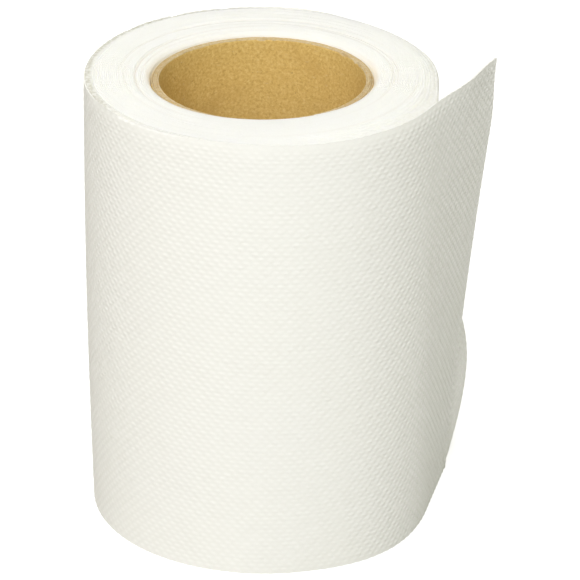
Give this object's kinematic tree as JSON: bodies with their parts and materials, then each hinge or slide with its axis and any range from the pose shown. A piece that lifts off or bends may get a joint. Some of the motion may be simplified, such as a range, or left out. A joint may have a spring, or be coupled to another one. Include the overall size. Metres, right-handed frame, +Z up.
{
  "type": "toilet paper roll",
  "caption": "Standing roll of embossed white paper wound on a cardboard core, with a loosened outer turn and a free tail.",
  "frame": {"origin": "on the core's axis, at the level of the foot that the roll stands on", "axes": "+Z up along the core's axis, +X towards the free tail at the right, +Y to the back as the picture shows it"},
  "size_m": [0.0888, 0.0769, 0.102],
  "materials": {
    "web": "matte embossed white paper",
    "kraft": "plain kraft cardboard"
  },
  "bodies": {
    "root": {"core_tube": "kraft", "paper_roll": "web"}
  },
  "joints": []
}
